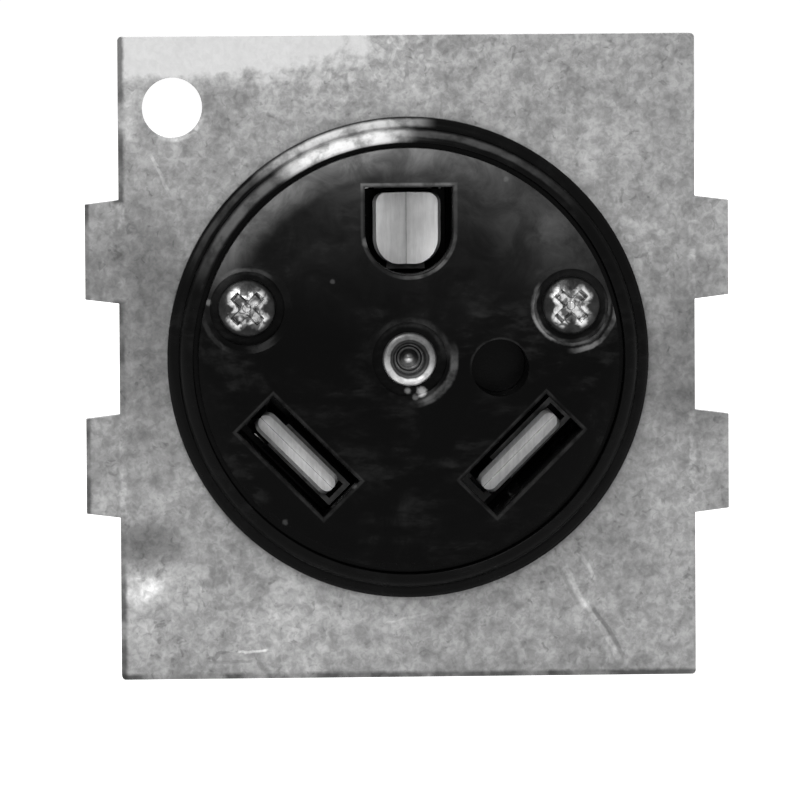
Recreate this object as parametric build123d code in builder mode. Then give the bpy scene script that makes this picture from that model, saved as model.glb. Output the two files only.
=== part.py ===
from build123d import *
import math
import os
from dataclasses import dataclass

os.makedirs("parts", exist_ok=True)

# The socket faces -Y with +Z up. The origin is the middle of the plate's rear face.
# A height is measured forwards from that face, and millimetres are used throughout.

# Mounting plate
plate_width = 68.2
plate_height = 76.2
plate_thickness = 1.6
plate_corner_radius = 0.5
tab_pitch = 25.4
tab_root_width = 12.2
tab_tip_width = 11.2
tab_reach = 4.0
corner_hole_radius = 3.57
corner_hole_from_side = 6.4
corner_hole_from_top = 8.4
ear_half_width = 4.5

# Screws that hold the socket to the plate's ears
screw_spacing = 38.3
screw_rise = 6.15
screw_major_radius = 1.75
screw_head_radius = 3.45
screw_head_height = 1.9
screw_head_rim = 0.9
screw_length = 9.5
screw_tip_chamfer = 0.4
screw_recess_width = 1.1
screw_recess_span = 4.4
screw_recess_depth = 1.1
screw_recess_taper = 12.0
screw_recess_turn = 45.0

# Moulded housing
body_radius = 23.6
body_depth = 24.0
body_draft = 0.5
body_rear_chamfer = 0.8
flange_floor = 1.6
flange_edge_height = 1.3
rim_width = 1.65
rim_ledge_width = 1.3
rim_step_height = 0.5
rim_height = 3.5
rim_shoulder = 1.0
rim_shoulder_drop = 0.25
flange_round = 0.35
flange_round_drop = 0.15
seam_width = 0.65

# Moulded face
cover_radius = 24.9
cover_thickness = 3.0
cover_flat_radius = 21.1
cover_edge_drop = 1.1
peg_radius = 1.2
peg_length = 1.5
peg_spacing = 20.0
peg_rise = 11.0
window_chamfer = 0.25
screw_sink_radius = 4.4
screw_sink_depth = 1.8
rivet_sink_radius = 4.4
rivet_sink_depth = 1.2
sink_lip_width = 0.9
sink_lip_depth = 0.45
blind_recess_x = 10.7
blind_recess_drop = 1.1
blind_recess_radius = 3.4
blind_recess_depth = 8.0

# Blade windows and the earth window
blade_window_x = 13.2
blade_window_drop = 11.4
blade_window_length = 14.3
blade_window_width = 6.0
blade_slant = 45.0
earth_window_rise = 15.15
earth_window_width = 10.4

# Contacts, springs and earth strap
leaf_thickness = 0.8
lip_depth = 5.0
leg_width = 9.0
leg_end_gap = 1.5
clip_thickness = 0.6
strap_thickness = 0.8
strap_width = 3.2
strap_tongue_width = 4.8
strap_ring_radius = 3.6

# Wire terminals
terminal_rise = 6.6
terminal_pocket_rise = 12.0
terminal_pocket_width = 11.4
clamp_width = 9.6
clamp_height = 9.2
clamp_thickness = 1.2
clamp_corner_radius = 1.0
clamp_groove_radius = 0.8
clamp_groove_offset = 3.3
terminal_screw_radius = 2.08
terminal_head_radius = 3.9
terminal_head_height = 2.0
terminal_head_chamfer = 0.4
terminal_screw_reach = 5.0
terminal_slot_width = 1.2
terminal_slot_depth = 1.0

# Rivet and its washer
rivet_shank_radius = 2.4
rivet_bore_radius = 1.8
rivet_bore_depth = 2.2
rivet_roll_radius = 3.2
rivet_roll_height = 0.95
rivet_roll_edge = 0.25
rivet_mouth_depth = 1.0
rivet_ring_radius = 1.35
rivet_ring_height = 0.25
rivet_dome_radius = 1.0
rivet_dome_height = 0.5
rivet_head_radius = 4.3
rivet_head_height = 1.5
rivet_head_rim = 0.45
washer_radius = 5.6
washer_thickness = 0.8
rear_sink_radius = 6.2
rear_sink_depth = 2.4

# Clearances
hole_clearance = 0.4
ear_clearance = 0.35
shank_clearance = 0.15
thread_clearance = 0.05
wall_clearance = 0.2
leaf_clearance = 0.02

# Heights that follow from the stack of pieces
flange_back = plate_thickness
cover_seat = flange_back + flange_floor
face_height = cover_seat + cover_thickness
rim_top = flange_back + rim_height
lip_height = face_height - lip_depth
body_back = -body_depth
screw_x = screw_spacing / 2
screw_seat = face_height - screw_sink_depth
rivet_seat = face_height - rivet_sink_depth
rear_seat = body_back + rear_sink_depth
terminal_height = body_back + terminal_rise
pocket_top = body_back + terminal_pocket_rise
sink_lip_taper = math.degrees(math.atan2(sink_lip_width, sink_lip_depth))

# Radii that follow outwards from the face
mouth_radius = cover_radius + seam_width
rim_step_radius = mouth_radius + rim_width
flange_radius = rim_step_radius + rim_ledge_width

FRONT = Plane(origin=(0, 0, 0), x_dir=(1, 0, 0), z_dir=(0, -1, 0))
PROFILE = Plane(origin=(0, 0, 0), x_dir=(1, 0, 0), z_dir=(0, 0, -1))


def upright_plane(x, z, angle):
    """A plane through a point of the face: local x at that angle, local y forwards."""
    turn = math.radians(angle)
    return Plane(
        origin=(x, 0, z),
        x_dir=(math.cos(turn), 0, math.sin(turn)),
        z_dir=(math.sin(turn), 0, -math.cos(turn)),
    )


@dataclass
class Leaves:
    """Two sprung leaves, as half gaps from their middle plane and drops below their lips."""

    lip_gap: float
    pinch_gap: float
    root_gap: float
    pinch_drop: float
    root_drop: float
    heel_drop: float
    lip_length: float
    web_gap: float
    free_gap: float
    far_round: float
    near_round: float
    clip_drop: float
    clip_rise: float

    @property
    def pinch_height(self):
        return lip_height - self.pinch_drop

    @property
    def root_height(self):
        return lip_height - self.root_drop

    @property
    def heel_height(self):
        return lip_height - self.heel_drop

    @property
    def web_start(self):
        return self.lip_length / 2 + self.web_gap

    @property
    def free_end(self):
        return self.lip_length / 2 + self.free_gap


blade_leaves = Leaves(
    lip_gap=0.95,
    pinch_gap=0.02,
    root_gap=1.2,
    pinch_drop=0.65,
    root_drop=7.2,
    heel_drop=10.2,
    lip_length=12.0,
    web_gap=0.6,
    free_gap=0.7,
    far_round=1.0,
    near_round=1.0,
    clip_drop=1.8,
    clip_rise=0.4,
)
earth_leaves = Leaves(
    lip_gap=3.65,
    pinch_gap=0.02,
    root_gap=2.6,
    pinch_drop=1.9,
    root_drop=8.6,
    heel_drop=11.0,
    lip_length=8.5,
    web_gap=0.1,
    free_gap=0.1,
    far_round=3.2,
    near_round=1.2,
    clip_drop=2.0,
    clip_rise=0.4,
)

blade_sides = {"hot": -1, "neutral": 1}
blade_planes = {
    name: upright_plane(
        side * blade_window_x,
        -blade_window_drop,
        -90 + side * (90 - blade_slant),
    )
    for name, side in blade_sides.items()
}
earth_leaf_plane = upright_plane(0, earth_window_rise, 180)
earth_leg_plane = upright_plane(0, earth_window_rise, 90)
blade_leg_face = blade_leaves.root_gap + leaf_thickness
earth_leg_face = earth_leaves.web_start + leaf_thickness
leg_bottom = body_back + leg_end_gap
strap_foot = earth_leaves.heel_height
tongue_front = earth_window_rise + earth_leg_face
strap_inner_radius = tongue_front + strap_thickness / 2


# Mounting plate: one stamping with four side tabs and two tapped ears in its round hole
plate_hole_radius = body_radius + hole_clearance
with BuildPart() as mounting_plate:
    with BuildSketch(FRONT):
        Rectangle(plate_width, plate_height)
        fillet(vertices(), plate_corner_radius)
        edge_x = plate_width / 2
        with GridLocations(0, tab_pitch, 1, 2):
            for side in (-1, 1):
                Polygon(
                    (side * edge_x, -tab_root_width / 2),
                    (side * (edge_x + tab_reach), -tab_tip_width / 2),
                    (side * (edge_x + tab_reach), tab_tip_width / 2),
                    (side * edge_x, tab_root_width / 2),
                    align=None,
                )
    extrude(amount=plate_thickness)
    with BuildSketch(FRONT) as plate_hole:
        Circle(plate_hole_radius)
        for side in (-1, 1):
            with Locations((side * screw_x, screw_rise)):
                Circle(ear_half_width, mode=Mode.SUBTRACT)
            ear_length = plate_hole_radius - screw_x
            with Locations((side * (screw_x + ear_length / 2), screw_rise)):
                Rectangle(ear_length, 2 * ear_half_width, mode=Mode.SUBTRACT)
    extrude(amount=plate_thickness, mode=Mode.SUBTRACT)
    with Locations(FRONT):
        with Locations((-screw_x, screw_rise), (screw_x, screw_rise)):
            Hole(screw_major_radius + thread_clearance)
        with Locations(
            (
                corner_hole_from_side - plate_width / 2,
                plate_height / 2 - corner_hole_from_top,
            )
        ):
            Hole(corner_hole_radius)
mounting_plate.part.label = "mounting_plate"
export_step(mounting_plate.part, "parts/mounting_plate.step")


def add_window_outlines(grow=0.0):
    """The two slanted blade windows and the earth window, on the current sketch."""
    for side in (-1, 1):
        with Locations((side * blade_window_x, -blade_window_drop)):
            Rectangle(
                blade_window_length + 2 * grow,
                blade_window_width + 2 * grow,
                rotation=side * blade_slant,
            )
    earth_half = earth_window_width / 2 + grow
    with Locations((0, earth_window_rise)):
        Circle(earth_half)
        with Locations((0, earth_half / 2)):
            Rectangle(2 * earth_half, earth_half)


# Moulded face: a disc with a rounded edge, three windows and two locating pegs
with BuildPart() as front_cover:
    with BuildSketch(PROFILE):
        with BuildLine():
            edge_top = face_height - cover_edge_drop
            Polyline(
                (cover_radius, edge_top),
                (cover_radius, cover_seat),
                (0, cover_seat),
                (0, face_height),
                (cover_flat_radius, face_height),
            )
            TangentArc(
                (cover_flat_radius, face_height), (cover_radius, edge_top), tangent=(1, 0)
            )
        make_face()
    revolve(axis=Axis.Y)
    with BuildSketch(FRONT.offset(cover_seat)):
        with Locations((-peg_spacing / 2, peg_rise), (peg_spacing / 2, peg_rise)):
            Circle(peg_radius)
    extrude(amount=-peg_length)
    with BuildSketch(FRONT.offset(face_height)):
        add_window_outlines()
    extrude(amount=-cover_thickness, mode=Mode.SUBTRACT)
    with BuildSketch(FRONT.offset(face_height)):
        add_window_outlines(window_chamfer)
    extrude(amount=-window_chamfer, taper=45, mode=Mode.SUBTRACT)
    with BuildSketch(FRONT.offset(face_height)):
        with Locations((-screw_x, screw_rise), (screw_x, screw_rise)):
            Circle(screw_sink_radius + sink_lip_width)
        Circle(rivet_sink_radius + sink_lip_width)
    extrude(amount=-sink_lip_depth, taper=sink_lip_taper, mode=Mode.SUBTRACT)
    with Locations(FRONT.offset(face_height)):
        with Locations((-screw_x, screw_rise), (screw_x, screw_rise)):
            CounterBoreHole(
                screw_major_radius + shank_clearance, screw_sink_radius, screw_sink_depth
            )
        CounterBoreHole(
            rivet_shank_radius + shank_clearance, rivet_sink_radius, rivet_sink_depth
        )
        with Locations((blind_recess_x, -blind_recess_drop)):
            Hole(blind_recess_radius)
front_cover.part.label = "front_cover"
export_step(front_cover.part, "parts/front_cover.step")


# Moulded body: stepped rim in front of the plate, deep round body behind it
step_foot = flange_back + flange_edge_height + rim_step_height
step_top = step_foot + rim_step_height
chamber_bottom = {
    "blade": blade_leaves.heel_height - wall_clearance,
    "earth": earth_leaves.heel_height - wall_clearance,
}
blade_chamber_length = 2 * (blade_leaves.web_start + leaf_thickness + wall_clearance)
earth_chamber_length = 2 * (earth_leaves.web_start + leaf_thickness + wall_clearance)
notch_half_width = ear_half_width + ear_clearance


def add_terminal_room(plane, leg_face, chamber_top_for_leg):
    """Cut a leg slot, a terminal pocket open outwards and rearwards, and a screw bore."""
    leg_back = leg_face - leaf_thickness
    slot_middle = (leg_face + leg_back) / 2
    slot_half_width = leg_width / 2 + wall_clearance
    with BuildSketch(plane) as slot:
        with Locations((slot_middle, (chamber_top_for_leg + pocket_top) / 2)):
            Rectangle(leaf_thickness + 2 * wall_clearance, chamber_top_for_leg - pocket_top)
    extrude(slot.sketch, amount=slot_half_width, both=True, mode=Mode.SUBTRACT)
    with BuildSketch(plane) as pocket:
        with Locations((leg_back + body_radius / 2, pocket_top - body_depth / 2)):
            Rectangle(body_radius, body_depth)
    extrude(pocket.sketch, amount=terminal_pocket_width / 2, both=True, mode=Mode.SUBTRACT)
    bore_plane = Plane(
        origin=plane.from_local_coords((leg_back, terminal_height, 0)),
        x_dir=plane.z_dir,
        z_dir=-plane.x_dir,
    )
    with BuildSketch(bore_plane) as bore:
        Circle(terminal_screw_radius + wall_clearance)
    extrude(bore.sketch, amount=terminal_screw_reach, mode=Mode.SUBTRACT)


def add_strap_outline(grow=0.0):
    """The flat outline of the earth strap: a ring, an arc round the rim and a tongue."""
    outer_radius = strap_inner_radius + strap_width + grow
    with BuildSketch(FRONT, mode=Mode.PRIVATE) as band:
        Circle(outer_radius)
        Circle(strap_inner_radius - grow, mode=Mode.SUBTRACT)
        ring_angle = math.degrees(math.atan2(screw_rise, -screw_x))
        with BuildLine():
            reach = 2 * outer_radius
            ring_turn = math.radians(ring_angle)
            Polyline(
                (strap_tongue_width / 2 + grow, 0),
                (strap_tongue_width / 2 + grow, reach),
                (-reach, reach),
                (reach * math.cos(ring_turn), reach * math.sin(ring_turn)),
                (0, 0),
                close=True,
            )
        make_face(mode=Mode.INTERSECT)
        with Locations((-screw_x, screw_rise)):
            Circle(strap_ring_radius + grow)
    return band.sketch_local


with BuildPart() as rear_housing:
    with BuildSketch(PROFILE):
        with BuildLine():
            Polyline(
                (rim_step_radius, step_top),
                (rim_step_radius, step_foot),
            )
            ThreePointArc(
                (rim_step_radius, step_foot),
                (flange_radius - flange_round, step_foot - flange_round_drop),
                (flange_radius, flange_back + flange_edge_height),
            )
            Polyline(
                (flange_radius, flange_back + flange_edge_height),
                (flange_radius, flange_back),
                (body_radius, flange_back),
                (body_radius - body_draft, body_back),
                (0, body_back),
                (0, cover_seat),
                (mouth_radius, cover_seat),
                (mouth_radius, rim_top),
            )
            ThreePointArc(
                (mouth_radius, rim_top),
                (mouth_radius + rim_shoulder, rim_top - rim_shoulder_drop),
                (rim_step_radius, step_top),
            )
        make_face()
    revolve(axis=Axis.Y)
    chamfer(
        rear_housing.faces().sort_by(Axis.Y)[-1].outer_wire().edges(), body_rear_chamfer
    )
    with BuildSketch(FRONT.offset(cover_seat)):
        for side in (-1, 1):
            with Locations((side * blade_window_x, -blade_window_drop)):
                Rectangle(
                    blade_chamber_length, blade_window_width, rotation=side * blade_slant
                )
    extrude(amount=chamber_bottom["blade"] - cover_seat, mode=Mode.SUBTRACT)
    with BuildSketch(FRONT.offset(cover_seat)):
        with Locations((0, earth_window_rise)):
            Rectangle(earth_window_width, earth_chamber_length)
    extrude(amount=chamber_bottom["earth"] - cover_seat, mode=Mode.SUBTRACT)
    for plane in blade_planes.values():
        add_terminal_room(plane, blade_leg_face, blade_leaves.root_height)
    add_terminal_room(earth_leg_plane, earth_leg_face, earth_leaves.root_height)
    with BuildSketch(FRONT.offset(flange_back)):
        for side in (-1, 1):
            with Locations((side * screw_x, screw_rise)):
                Circle(notch_half_width)
            notch_length = body_radius
            with Locations((side * (screw_x + notch_length / 2), screw_rise)):
                Rectangle(notch_length, 2 * notch_half_width)
    extrude(amount=body_back - flange_back, mode=Mode.SUBTRACT)
    with Locations(FRONT.offset(cover_seat)):
        with Locations((-screw_x, screw_rise), (screw_x, screw_rise)):
            Hole(screw_major_radius + shank_clearance, depth=flange_floor)
        Hole(rivet_shank_radius + shank_clearance)
        with Locations((-peg_spacing / 2, peg_rise), (peg_spacing / 2, peg_rise)):
            Hole(peg_radius + shank_clearance, depth=peg_length + wall_clearance)
        with Locations((blind_recess_x, -blind_recess_drop)):
            Hole(blind_recess_radius, depth=blind_recess_depth - cover_thickness)
    with BuildSketch(FRONT.offset(body_back)):
        Circle(rear_sink_radius)
    extrude(amount=rear_sink_depth, mode=Mode.SUBTRACT)
    with BuildSketch(FRONT.offset(cover_seat)):
        add(add_strap_outline(wall_clearance))
    extrude(amount=-strap_thickness, mode=Mode.SUBTRACT)
    with BuildSketch(FRONT.offset(cover_seat)):
        with Locations((0, tongue_front + strap_thickness / 2)):
            Rectangle(
                strap_tongue_width + 2 * wall_clearance, strap_thickness + 2 * wall_clearance
            )
    extrude(amount=strap_foot - wall_clearance - cover_seat, mode=Mode.SUBTRACT)
rear_housing.part.label = "rear_housing"
export_step(rear_housing.part, "parts/rear_housing.step")


def set_off(points):
    """The same line set off to its outer side by the strip's thickness, corners mitred."""
    turns = [
        math.atan2(end[1] - start[1], end[0] - start[0])
        for start, end in zip(points, points[1:])
    ]
    moved = []
    for (x, height), before, after in zip(points, [turns[0]] + turns, turns + [turns[-1]]):
        outwards = (before + after) / 2 + math.pi / 2
        reach = leaf_thickness / math.cos((after - before) / 2)
        moved.append((x + reach * math.cos(outwards), height + reach * math.sin(outwards)))
    return moved


def leaf_points(leaves, side):
    """Corners of one leaf in section: a flared lip, a pinch, and a straight root."""
    inner = [
        (leaves.lip_gap, lip_height),
        (leaves.pinch_gap, leaves.pinch_height),
        (leaves.root_gap, leaves.root_height),
        (leaves.root_gap, leaves.heel_height),
    ]
    return [(side * x, height) for x, height in inner + set_off(inner)[::-1]]


def add_leaves(plane, leaves):
    """Two leaves that face each other, joined at one end by a web near their heels."""
    web_end = leaves.web_start + leaf_thickness
    outside = leaves.root_gap + leaf_thickness
    for side in (-1, 1):
        with BuildSketch(plane) as section:
            Polygon(leaf_points(leaves, side), align=None)
        extrude(section.sketch, amount=leaves.lip_length / 2, both=True)
    along = Axis((0, 0, 0), plane.z_dir)
    across_strip = edges().filter_by(lambda edge: math.isclose(edge.length, leaf_thickness))
    tips = across_strip.group_by(Axis.Y)[0]
    ends = tips.sort_by(along).group_by(along)
    fillet(ends[0], leaves.far_round)
    fillet(ends[-1], leaves.near_round)
    leaf_end = leaves.lip_length / 2
    with BuildSketch(plane.offset(leaf_end)) as wrap:
        with Locations((0, (leaves.root_height + leaves.heel_height) / 2)):
            Rectangle(2 * outside, leaves.root_height - leaves.heel_height)
    extrude(wrap.sketch, amount=web_end - leaf_end)
    with BuildSketch(plane.offset(leaf_end)) as room:
        with Locations((0, (leaves.root_height + leaves.heel_height) / 2)):
            Rectangle(2 * leaves.root_gap, leaves.root_height - leaves.heel_height)
    extrude(room.sketch, amount=leaves.web_start - leaf_end, mode=Mode.SUBTRACT)


def add_leg(plane, leg_face, top):
    """The straight leg that runs down to the wire terminal, with its tapped hole."""
    with BuildSketch(plane) as strip:
        with Locations((leg_face - leaf_thickness / 2, (top + leg_bottom) / 2)):
            Rectangle(leaf_thickness, top - leg_bottom)
    extrude(strip.sketch, amount=leg_width / 2, both=True)
    with Locations(
        Location(
            Plane(
                origin=plane.from_local_coords((leg_face, terminal_height, 0)),
                z_dir=plane.x_dir,
            )
        )
    ):
        Hole(terminal_screw_radius + thread_clearance, depth=leaf_thickness)


for name, plane in blade_planes.items():
    with BuildPart() as contact:
        add_leaves(plane, blade_leaves)
        add_leg(plane, blade_leg_face, blade_leaves.root_height)
    contact.part.label = f"{name}_contact"
    export_step(contact.part, f"parts/{name}_contact.step")

with BuildPart() as ground_contact:
    add_leaves(earth_leaf_plane, earth_leaves)
    add_leg(earth_leg_plane, earth_leg_face, earth_leaves.heel_height)
ground_contact.part.label = "ground_contact"
export_step(ground_contact.part, "parts/ground_contact.step")


def leaf_outside(leaves, height):
    """Where the outer side of a leaf lies at a height between its pinch and its root."""
    run = leaves.root_gap - leaves.pinch_gap
    rise = leaves.pinch_height - leaves.root_height
    share = (leaves.pinch_height - height) / rise
    return leaves.pinch_gap + share * run + leaf_thickness * math.hypot(run, rise) / rise


def clip_points(leaves, grow):
    """Corners of a four-sided section round both leaves, grown by some thickness."""
    top = leaves.pinch_height - leaves.clip_drop
    bottom = leaves.root_height + leaves.clip_rise
    top_x = leaf_outside(leaves, top) + grow
    bottom_x = leaf_outside(leaves, bottom) + grow
    return [(-top_x, top), (top_x, top), (bottom_x, bottom), (-bottom_x, bottom)]


springs = {name: (plane, blade_leaves) for name, plane in blade_planes.items()}
springs["ground"] = (earth_leaf_plane, earth_leaves)
for name, (plane, leaves) in springs.items():
    clip_open_end = leaves.lip_length / 4
    with BuildPart() as spring:
        back = -leaves.free_end
        with BuildSketch(plane.offset(back - clip_thickness)):
            Polygon(clip_points(leaves, leaf_clearance + clip_thickness), align=None)
        extrude(amount=clip_open_end - back + clip_thickness)
        with BuildSketch(plane.offset(back)):
            Polygon(clip_points(leaves, leaf_clearance), align=None)
        extrude(amount=clip_open_end - back, mode=Mode.SUBTRACT)
    spring.part.label = f"{name}_spring"
    export_step(spring.part, f"parts/{name}_spring.step")


terminals = {name: (plane, blade_leg_face) for name, plane in blade_planes.items()}
terminals["ground"] = (earth_leg_plane, earth_leg_face)
for name, (plane, leg_face) in terminals.items():
    clamp_plane = Plane(
        origin=plane.from_local_coords((leg_face, terminal_height, 0)),
        x_dir=plane.z_dir,
        z_dir=plane.x_dir,
    )
    with BuildPart() as clamp_plate:
        with BuildSketch(clamp_plane):
            RectangleRounded(clamp_width, clamp_height, clamp_corner_radius)
            Circle(terminal_screw_radius + shank_clearance, mode=Mode.SUBTRACT)
        extrude(amount=clamp_thickness)
        with BuildSketch(Plane(clamp_plane.origin, clamp_plane.x_dir, (0, 1, 0))):
            for side in (-1, 1):
                with Locations((side * clamp_groove_offset, 0)):
                    Circle(clamp_groove_radius)
        extrude(amount=clamp_height, both=True, mode=Mode.SUBTRACT)
    clamp_plate.part.label = f"{name}_clamp_plate"
    export_step(clamp_plate.part, f"parts/{name}_clamp_plate.step")

    with BuildPart() as terminal_screw:
        with BuildSketch(clamp_plane.offset(clamp_thickness)):
            Circle(terminal_head_radius)
        extrude(amount=terminal_head_height)
        head_end = Axis(clamp_plane.origin, clamp_plane.z_dir)
        chamfer(
            terminal_screw.faces().sort_by(head_end)[-1].edges(),
            terminal_head_chamfer,
        )
        with BuildSketch(clamp_plane.offset(clamp_thickness)):
            Circle(terminal_screw_radius)
        extrude(amount=-clamp_thickness - terminal_screw_reach)
        with BuildSketch(clamp_plane.offset(clamp_thickness + terminal_head_height)):
            Rectangle(terminal_slot_width, 2 * terminal_head_radius)
        extrude(amount=-terminal_slot_depth, mode=Mode.SUBTRACT)
    terminal_screw.part.label = f"{name}_terminal_screw"
    export_step(terminal_screw.part, f"parts/{name}_terminal_screw.step")


# Cross-recess screws through the face and the flange into the plate's ears
for name, side in {"left": -1, "right": 1}.items():
    with BuildPart() as cover_screw:
        with BuildSketch(PROFILE):
            with BuildLine():
                head_top = screw_seat + screw_head_height
                tip = screw_seat - screw_length
                Polyline(
                    (0, head_top),
                    (0, tip),
                    (screw_major_radius - screw_tip_chamfer, tip),
                    (screw_major_radius, tip + screw_tip_chamfer),
                    (screw_major_radius, screw_seat),
                    (screw_head_radius, screw_seat),
                    (screw_head_radius, screw_seat + screw_head_rim),
                )
                TangentArc(
                    (0, head_top),
                    (screw_head_radius, screw_seat + screw_head_rim),
                    tangent=(1, 0),
                )
            make_face()
        revolve(axis=Axis.Y)
        with BuildSketch(FRONT.offset(head_top)):
            for turn in (screw_recess_turn, screw_recess_turn + 90):
                Rectangle(screw_recess_span, screw_recess_width, rotation=turn)
        extrude(amount=-screw_recess_depth, taper=screw_recess_taper, mode=Mode.SUBTRACT)
    cover_screw.part.label = f"cover_screw_{name}"
    placed = cover_screw.part.moved(Location((side * screw_x, 0, screw_rise)))
    placed.label = cover_screw.part.label
    export_step(placed, f"parts/cover_screw_{name}.step")


# Semi-tubular rivet: the hollow end is rolled over in front, the solid head is behind
rivet_head_seat = rear_seat - washer_thickness
with BuildPart() as center_rivet:
    with BuildSketch(PROFILE):
        with BuildLine():
            roll_top = rivet_seat + rivet_roll_height
            bore_floor = roll_top - rivet_bore_depth
            roll_crown = (rivet_bore_radius + rivet_roll_radius) / 2
            head_back = rivet_head_seat - rivet_head_height
            Polyline(
                (0, bore_floor + rivet_dome_height),
                (0, head_back),
            )
            TangentArc(
                (0, head_back),
                (rivet_head_radius, rivet_head_seat - rivet_head_rim),
                tangent=(1, 0),
            )
            Polyline(
                (rivet_head_radius, rivet_head_seat - rivet_head_rim),
                (rivet_head_radius, rivet_head_seat),
                (rivet_shank_radius, rivet_head_seat),
                (rivet_shank_radius, rivet_seat),
                (rivet_roll_radius - rivet_roll_edge, rivet_seat),
            )
            ThreePointArc(
                (rivet_roll_radius - rivet_roll_edge, rivet_seat),
                (rivet_roll_radius, rivet_seat + rivet_roll_height / 2),
                (roll_crown, roll_top),
            )
            TangentArc(
                (roll_crown, roll_top),
                (rivet_bore_radius, roll_top - rivet_mouth_depth),
                tangent=(-1, 0),
            )
            Polyline(
                (rivet_bore_radius, roll_top - rivet_mouth_depth),
                (rivet_bore_radius, bore_floor),
                (rivet_bore_radius - rivet_ring_height, bore_floor),
            )
            ThreePointArc(
                (rivet_bore_radius - rivet_ring_height, bore_floor),
                (rivet_ring_radius, bore_floor + rivet_ring_height),
                (rivet_dome_radius, bore_floor),
            )
            TangentArc(
                (0, bore_floor + rivet_dome_height),
                (rivet_dome_radius, bore_floor),
                tangent=(1, 0),
            )
        make_face()
    revolve(axis=Axis.Y)
center_rivet.part.label = "center_rivet"
export_step(center_rivet.part, "parts/center_rivet.step")

with BuildPart() as rivet_washer:
    with BuildSketch(FRONT.offset(rivet_head_seat)):
        Circle(washer_radius)
        Circle(rivet_shank_radius + shank_clearance, mode=Mode.SUBTRACT)
    extrude(amount=washer_thickness)
rivet_washer.part.label = "rivet_washer"
export_step(rivet_washer.part, "parts/rivet_washer.step")


# Earth strap: a flat arc under the face, from the left screw to the earth contact's web
with BuildPart() as ground_strap:
    with BuildSketch(FRONT.offset(cover_seat)):
        add(add_strap_outline())
        with Locations((-screw_x, screw_rise)):
            Circle(screw_major_radius + shank_clearance, mode=Mode.SUBTRACT)
    extrude(amount=-strap_thickness)
    with BuildSketch(FRONT.offset(cover_seat)):
        with Locations((0, tongue_front + strap_thickness / 2)):
            Rectangle(strap_tongue_width, strap_thickness)
    extrude(amount=strap_foot - cover_seat)
ground_strap.part.label = "ground_strap"
export_step(ground_strap.part, "parts/ground_strap.step")
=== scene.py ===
"""Looks of a panel power socket: every surface's finish, threaded screws, light and camera."""

import math

import bmesh
import bpy
from mathutils import Matrix, Vector


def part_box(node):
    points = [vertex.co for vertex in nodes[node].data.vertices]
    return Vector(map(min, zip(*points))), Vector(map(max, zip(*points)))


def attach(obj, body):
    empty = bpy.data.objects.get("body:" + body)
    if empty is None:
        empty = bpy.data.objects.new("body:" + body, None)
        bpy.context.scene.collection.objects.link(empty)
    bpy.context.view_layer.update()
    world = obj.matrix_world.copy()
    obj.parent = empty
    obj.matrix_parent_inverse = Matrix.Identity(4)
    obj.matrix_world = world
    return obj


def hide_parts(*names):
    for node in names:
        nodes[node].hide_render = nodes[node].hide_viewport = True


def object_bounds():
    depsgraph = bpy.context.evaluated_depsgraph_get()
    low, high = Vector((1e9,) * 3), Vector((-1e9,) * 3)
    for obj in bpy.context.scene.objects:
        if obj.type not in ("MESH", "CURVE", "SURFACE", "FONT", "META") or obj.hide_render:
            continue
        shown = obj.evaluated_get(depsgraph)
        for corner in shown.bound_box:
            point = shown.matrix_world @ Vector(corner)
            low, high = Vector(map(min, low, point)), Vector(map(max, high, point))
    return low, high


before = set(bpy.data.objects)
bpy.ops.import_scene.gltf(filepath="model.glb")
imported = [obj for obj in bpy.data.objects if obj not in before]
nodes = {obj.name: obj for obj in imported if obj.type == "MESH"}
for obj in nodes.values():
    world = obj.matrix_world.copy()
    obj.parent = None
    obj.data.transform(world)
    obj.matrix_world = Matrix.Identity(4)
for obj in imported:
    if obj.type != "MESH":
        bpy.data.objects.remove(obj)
cad_low, cad_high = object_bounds()
plate_low, plate_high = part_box("mounting_plate")
screw_low, screw_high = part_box("cover_screw_left")

MM = 0.001

# The photograph's view: the plate's width in it sets the lens
PHOTO_PIXELS = 800
PLATE_PIXELS = 575.8
PLATE_WIDTH = 68.2 * MM
VIEW_WIDTH = PLATE_WIDTH * PHOTO_PIXELS / PLATE_PIXELS
VIEW_DISTANCE = 1.2
VIEW_AZIMUTH = math.radians(-3.0)
VIEW_ELEVATION = math.radians(4.5)
VIEW_ROLL = math.radians(0.3)
AIM = Vector((-0.95 * MM, plate_low.y, -5.13 * MM))
SENSOR_WIDTH = 36.0
CLIP_START, CLIP_END = 0.05, 10.0

# The level of the light, and what the camera and reflections see of the room
WORLD_LIGHT, WORLD_SEEN = 0.3, 1.0
FLOOR_TONE, FLOOR_SEEN = 0.8, 0.8
FLOOR_HALF_WIDTH, FLOOR_FRONT, FLOOR_BACK = 3.0, -0.25, 4.0

# Soft boxes aimed at the origin: name, place, width and height, radiance
LAMPS = (
    ("key_light", (-0.30, -0.50, 0.60), (0.42, 0.26), 10.0),
    ("front_light", (-0.12, -1.15, 0.40), (0.30, 0.26), 10.0),
    ("rear_light", (0.35, 0.9, 0.55), (0.6, 0.4), 9.0),
)

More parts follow.
